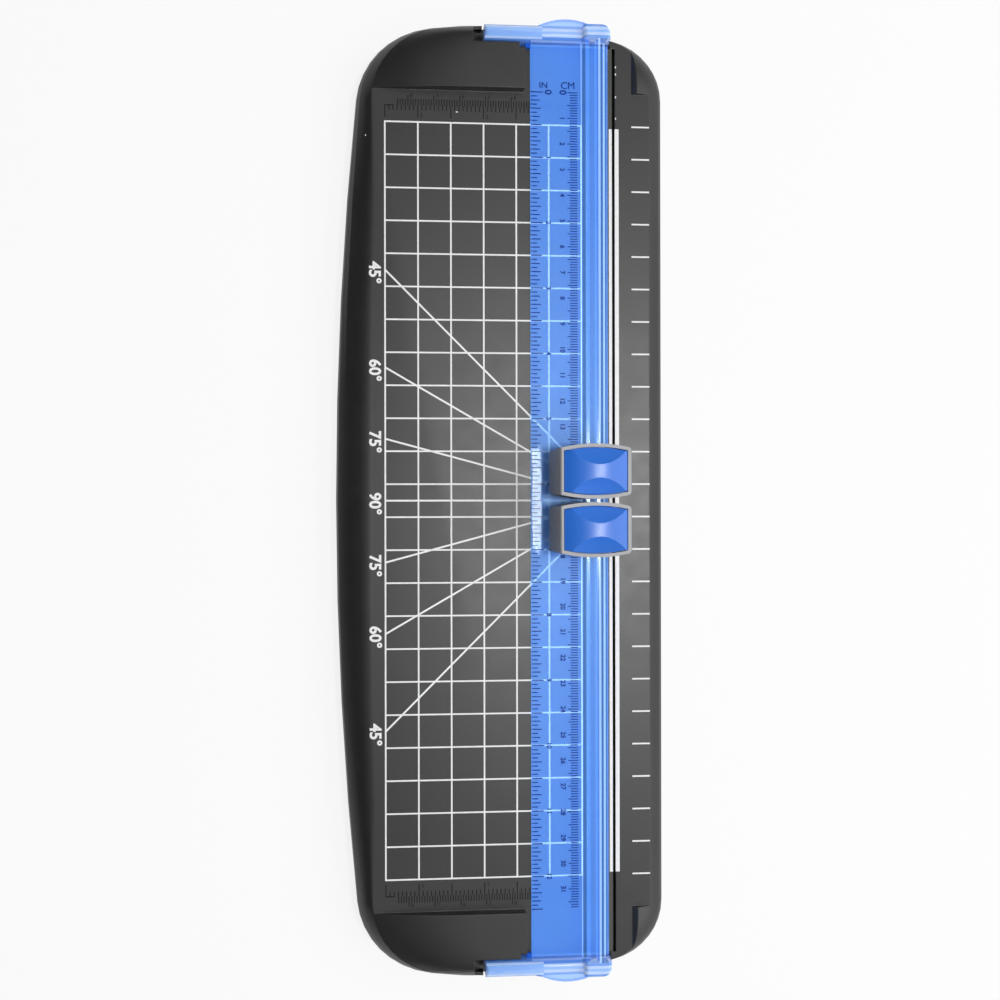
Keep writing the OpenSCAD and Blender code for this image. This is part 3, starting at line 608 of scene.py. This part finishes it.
BLADE = steel("ground_steel", 0.22, (1, 6, 0.3))
WHITE_INK = print_ink("white_ink", grey(0.86), grey(0.92), 0.5, 0.5)
BLUE_INK = print_ink("blue_ink", (0.001, 0.03, 0.24), (0.002, 0.04, 0.28), 0.6, 0.0)

# The rail's finishes, in the order of its zones
RAIL_FINISHES = (RAIL, RAIL_UNDER, RAIL_TICKS, RAIL_TOP, RAIL_PAINTED_HIGHLIGHT, RAIL_PAINTED_SHADE,
                 RAIL_ARM, RAIL_ARM_PAINTED_HIGHLIGHT, RAIL_ARM_PAINTED_SHADE, RAIL_DEEP, RAIL_TAB)


# The solids, dressed


def dress(node, finish):
    """Puts a finish on a CAD node that shows as it is."""
    slots = frame["nodes"][node].data.materials
    slots.clear()
    slots.append(finish)


def spring(kind):
    """A return spring, as a smooth copy with a mesh of its own; the real one shortens as its button goes
    down.
    """
    piece = smooth_copy(f"{kind}_spring", (STEEL,), limit=60)
    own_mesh(piece)


def dress_solids():
    """Gives every solid its finish, and the main ones a smooth copy."""
    smooth_copy("base_shell", (BASE,), change=soften_crease)
    smooth_copy("ruler_rail", RAIL_FINISHES, limit=20, change=rail_zones)
    dress("cutting_strip", STRIP)
    for i in range(1, 7):
        dress(f"foot_{i}", RUBBER)
    dress("hinge_pin_rear", PIN)
    dress("hinge_pin_front", PIN)
    for kind in ("cutter", "scorer"):
        smooth_copy(f"{kind}_shell", (SHELL,), limit=25)
        smooth_copy(f"{kind}_button", (BUTTON,), limit=25)
        dress(f"{kind}_shoe", SHOE)
        spring(kind)
        dress(f"{kind}_blade_holder", SHOE)
        dress(f"{kind}_blade", BLADE)
        dress(f"{kind}_blade_rivet", STEEL)


# Marks printed on the deck


def deck_grid():
    """Half-inch squares left of the rail, with columns broken at the rows so that no print overlaps."""
    columns = [CUT_X - (i + 1) * GRID for i in range(GRID_COLUMNS)]
    over = GRID_LINE / 2
    segments = [((GRID_LEFT - over, y), (GRID_RIGHT + over, y), GRID_LINE) for y in ROW_YS]
    for x in columns:
        for y0, y1 in zip(ROW_YS, ROW_YS[1:]):
            segments.append(((x, y0 + over), (x, y1 - over), GRID_LINE))
    lines("deck_grid", segments, DECK_Z, INK, "base", WHITE_INK)


def deck_angles():
    """Guide lines that fan out from the cut line, with their angles."""
    reach = CUT_X - GRID_LEFT
    start = CUT_X - GRID_RIGHT
    segments = []
    bm = bmesh.new()
    for angle in ANGLES:
        rise = math.copysign(math.tan(math.radians(90 - abs(angle))), angle)
        end = (GRID_LEFT, reach * rise)
        segments.append(((GRID_RIGHT, start * rise), end, ANGLE_LINE))
        label_place = (GRID_LEFT - ANGLE_LABEL_LEFT, end[1] - ANGLE_LABEL_DOWN)
        add_text(bm, f"{abs(angle)}°", label_place, DECK_Z, ANGLE_LABEL_H, TURNED, ANGLE_LABEL_BOLD)
    lines("deck_angle_lines", segments, DECK_Z, ANGLE_INK, "base", WHITE_INK)
    new_piece("deck_angle_labels", bm, "base", WHITE_INK)


def deck_ticks():
    """Half-inch ticks on the right of the deck."""
    x0 = CUT_X + DECK_TICK_FROM
    x1 = CUT_X + DECK_TICK_TO
    segments = [((x0, y), (x1, y), GRID_LINE) for y in ROW_YS]
    lines("deck_ticks", segments, DECK_Z, INK, "base", WHITE_INK)


def cut_stripes():
    """White stripes on both sides of the blade slot."""
    left = (CUT_X - SLOT_W / 2 - LEFT_STRIPE_W, CUT_X - SLOT_W / 2)
    right = (CUT_X + SLOT_W / 2, CUT_X + SLOT_W / 2 + RIGHT_STRIPE_W)
    segments = []
    for a, b in (left, right):
        middle = (a + b) / 2
        segments.append(((middle, -STRIPE_HALF), (middle, STRIPE_HALF), b - a))
    lines("cut_stripes", segments, DECK_Z, INK, "base", WHITE_INK)


def paint_flecks():
    """Specks of white paint along the blade slot's edge, and small scuffs on the deck."""
    edge = CUT_X + SLOT_W / 2
    specks = [(edge + FLECK_IN, y, FLECK_L, FLECK_W) for y in FLECK_YS]
    specks += SCUFFS
    segments = [((x, y), (x + length, y), width) for x, y, length, width in specks]
    lines("paint_flecks", segments, DECK_Z, INK, "base", WHITE_INK)


# Marks printed on the rail


def inch_tick(sixteenths):
    """Length of an inch tick, longer for larger fractions."""
    for step, length in INCH_TICK_LENGTHS:
        if sixteenths % step == 0:
            return length
    return SIXTEENTH_TICK_L


def ruler_ticks():
    """Sixteenths of an inch along the plate's edge, and millimetres beside the beam."""
    segments = []
    for i in range(int(RULER_INCHES * 16) + 1):
        y = FENCE_Y - i * INCH / 16
        segments.append(((INCH_TICK_X, y), (INCH_TICK_X + inch_tick(i), y), INCH_TICK))
    for i in range(int(RULER_INCHES * INCH / MM) + 1):
        y = FENCE_Y - i * MM
        length = FIVE_MM_TICK_L if i % 5 == 0 else ONE_MM_TICK_L
        segments.append(((CM_TICK_X - length, y), (CM_TICK_X, y), CM_TICK))
    lines("ruler_ticks", segments, RULER_Z, INK, "rail", BLUE_INK)


def ruler_numbers():
    """The ruler's units, zeros, inches and centimetres."""
    bm = bmesh.new()
    for unit, x, height in UNITS:
        add_text(bm, unit, (x, UNIT_Y), RULER_Z, height)
    for x in ZERO_XS:
        add_text(bm, "0", (x, FENCE_Y), RULER_Z, ZERO_H, TURNED, NUMBER_BOLD)
    for i in range(1, int(RULER_INCHES) + 1):
        place = (INCH_NUMBER_X, FENCE_Y - i * INCH)
        add_text(bm, str(i), place, RULER_Z, INCH_NUMBER_H, TURNED, NUMBER_BOLD)
    for i in range(1, int(RULER_INCHES * 2.54) + 1):
        place = (CM_NUMBER_X, FENCE_Y - i * 10 * MM)
        add_text(bm, str(i), place, RULER_Z, CM_NUMBER_H, TURNED, NUMBER_BOLD)
    new_piece("ruler_numbers", bm, "rail", BLUE_INK)


# Scales raised on the deck


def raised_scale(side):
    """Inches towards the grid and millimetres towards the fence, measured left from the cut line."""
    base_y = side * SCALE_Y
    segments = []
    bm = bmesh.new()
    for i in range(math.ceil(SCALE_END / INCH * 16), SCALE_SIXTEENTHS + 1):
        x = CUT_X - i * INCH / 16
        length = SCALE_HALF_INCH_L if i % 8 == 0 else SCALE_SIXTEENTH_L
        segments.append(((x, base_y), (x, base_y - side * length), SCALE_LINE))
        if i % 16 == 0:
            place = (x + SCALE_INCH_NUMBER[0], base_y - side * SCALE_INCH_NUMBER[1])
            add_text(bm, str(i // 16), place, DECK_Z, SCALE_NUMBER_H, ink=SCALE_RISE)
    for i in range(math.ceil(SCALE_END / MM), SCALE_MM + 1):
        x = CUT_X - i * MM
        length = SCALE_CM_L if i % 10 == 0 else SCALE_MM_L
        segments.append(((x, base_y), (x, base_y + side * length), SCALE_LINE))
        if i % 10 == 0:
            place = (x + SCALE_CM_NUMBER[0], base_y + side * SCALE_CM_NUMBER[1])
            add_text(bm, str(i // 10), place, DECK_Z, SCALE_NUMBER_H, ink=SCALE_RISE)
    segments.append(((SCALE_END_X, base_y), (SCALE_END_X + SCALE_END_L, base_y), SCALE_LINE))
    end = "rear" if side > 0 else "front"
    lines(f"raised_scale_{end}", segments, DECK_Z, SCALE_RISE, "base", MARK)
    new_piece(f"raised_numbers_{end}", bm, "base", MARK)


# Light, studio and camera

# Round white studio, with the share of its white that doesn't depend on the lamps
STUDIO_R = 4.0
WALL_H = 1.1
WALL_SIDES = 96
FLOOR_HALF = STUDIO_R + 0.1
FLOOR_SHARE = 0.85
WALL_SHARE = 1.0
WORLD_LIGHT = 0.10

# Lamps, each with its place, aim, size and power
LAMPS = (
    ("key", (0.205, 0, 1.02), (0.03, 0, DECK_Z), (0.124, 0.08), 3.4),
    ("ceiling", (0.32, -0.05, 1.25), (0.32, -0.05, 0), (1.3, 3.2), 7.3),
    ("side", (1.0, -0.15, 0.85), (0, 0, 0), (1.8, 0.9), 10.0),
)

# Camera, with the turn of the picture as a slope
CAMERA_PLACE = Vector((-42 * MM, 0, DECK_Z + 480 * MM))
CAMERA_AIM = Vector((-0.62 * MM, 0.2 * MM, DECK_Z))
CAMERA_ROLL = -0.0016
SENSOR = 36
FOCAL_LENGTH = 44.72


def softbox(name, place, aim, size, power):
    """A rectangular lamp that faces a point."""
    lamp = bpy.data.lights.new(name, "AREA")
    lamp.shape = "RECTANGLE"
    lamp.size, lamp.size_y = size
    lamp.energy = power
    holder = bpy.data.objects.new(name, lamp)
    holder.location = place
    holder.rotation_euler = (Vector(aim) - Vector(place)).to_track_quat("-Z", "Y").to_euler()
    bpy.context.scene.collection.objects.link(holder)


def white_sheet(name, share):
    """A matt white that eyes, mirrors and clear plastic see as white, to some share of the lit surface."""
    made, shader = material(name, grey(0.9), 1.0)
    nodes, links = made.node_tree.nodes, made.node_tree.links
    rays = nodes.new("ShaderNodeLightPath")
    mirrored = nodes.new("ShaderNodeMath")
    mirrored.operation = "MAXIMUM"
    links.new(rays.outputs["Is Glossy Ray"], mirrored.inputs[0])
    links.new(rays.outputs["Is Transmission Ray"], mirrored.inputs[1])
    seen = nodes.new("ShaderNodeMath")
    seen.operation = "MAXIMUM"
    links.new(rays.outputs["Is Camera Ray"], seen.inputs[0])
    links.new(mirrored.outputs["Value"], seen.inputs[1])
    part = nodes.new("ShaderNodeMath")
    part.operation = "MULTIPLY"
    part.inputs[1].default_value = share
    links.new(seen.outputs["Value"], part.inputs[0])
    glow = nodes.new("ShaderNodeEmission")
    glow.inputs["Strength"].default_value = 1.0
    mix = nodes.new("ShaderNodeMixShader")
    links.new(part.outputs["Value"], mix.inputs["Fac"])
    links.new(shader.outputs["BSDF"], mix.inputs[1])
    links.new(glow.outputs["Emission"], mix.inputs[2])
    links.new(mix.outputs["Shader"], nodes["Material Output"].inputs["Surface"])
    return made


def stage_piece(name, bm, finish):
    """A piece of the studio, which isn't part of the object."""
    mesh = bpy.data.meshes.new(name)
    bm.to_mesh(mesh)
    bm.free()
    mesh.materials.append(finish)
    piece = bpy.data.objects.new(name, mesh)
    bpy.context.scene.collection.objects.link(piece)


def studio():
    """A white floor that keeps a faint shadow, inside a round white wall."""
    bm = bmesh.new()
    bmesh.ops.create_grid(bm, x_segments=1, y_segments=1, size=FLOOR_HALF)
    stage_piece("floor", bm, white_sheet("floor_white", FLOOR_SHARE))
    bm = bmesh.new()
    bmesh.ops.create_cone(bm, cap_ends=False, segments=WALL_SIDES, radius1=STUDIO_R, radius2=STUDIO_R,
                          depth=WALL_H, matrix=Matrix.Translation((0, 0, WALL_H / 2)))
    stage_piece("backdrop", bm, white_sheet("backdrop_white", WALL_SHARE))


def world():
    """A faint even light from all around."""
    made = bpy.data.worlds.new("studio")
    made.use_nodes = True
    bpy.context.scene.world = made
    made.node_tree.nodes["Background"].inputs["Color"].default_value = (1, 1, 1, 1)
    made.node_tree.nodes["Background"].inputs["Strength"].default_value = WORLD_LIGHT


def lights():
    """All the lamps."""
    for lamp in LAMPS:
        softbox(*lamp)


def camera():
    """Almost straight down, from a little left of the middle."""
    back = (CAMERA_PLACE - CAMERA_AIM).normalized()
    right = Vector((-CAMERA_ROLL, 1, 0)).cross(back).normalized()
    up = back.cross(right)
    lens = bpy.data.cameras.new("camera")
    lens.sensor_width = SENSOR
    lens.lens = FOCAL_LENGTH
    lens.clip_start = 0.01
    holder = bpy.data.objects.new("camera", lens)
    holder.matrix_world = Matrix((
        (right.x, up.x, back.x, CAMERA_PLACE.x),
        (right.y, up.y, back.y, CAMERA_PLACE.y),
        (right.z, up.z, back.z, CAMERA_PLACE.z),
        (0, 0, 0, 1),
    ))
    bpy.context.scene.collection.objects.link(holder)
    bpy.context.scene.camera = holder


dress_solids()
deck_grid()
deck_angles()
deck_ticks()
cut_stripes()
paint_flecks()
ruler_ticks()
ruler_numbers()
raised_scale(1)
raised_scale(-1)
studio()
world()
lights()
camera()
bpy.context.scene.view_settings.view_transform = "Standard"
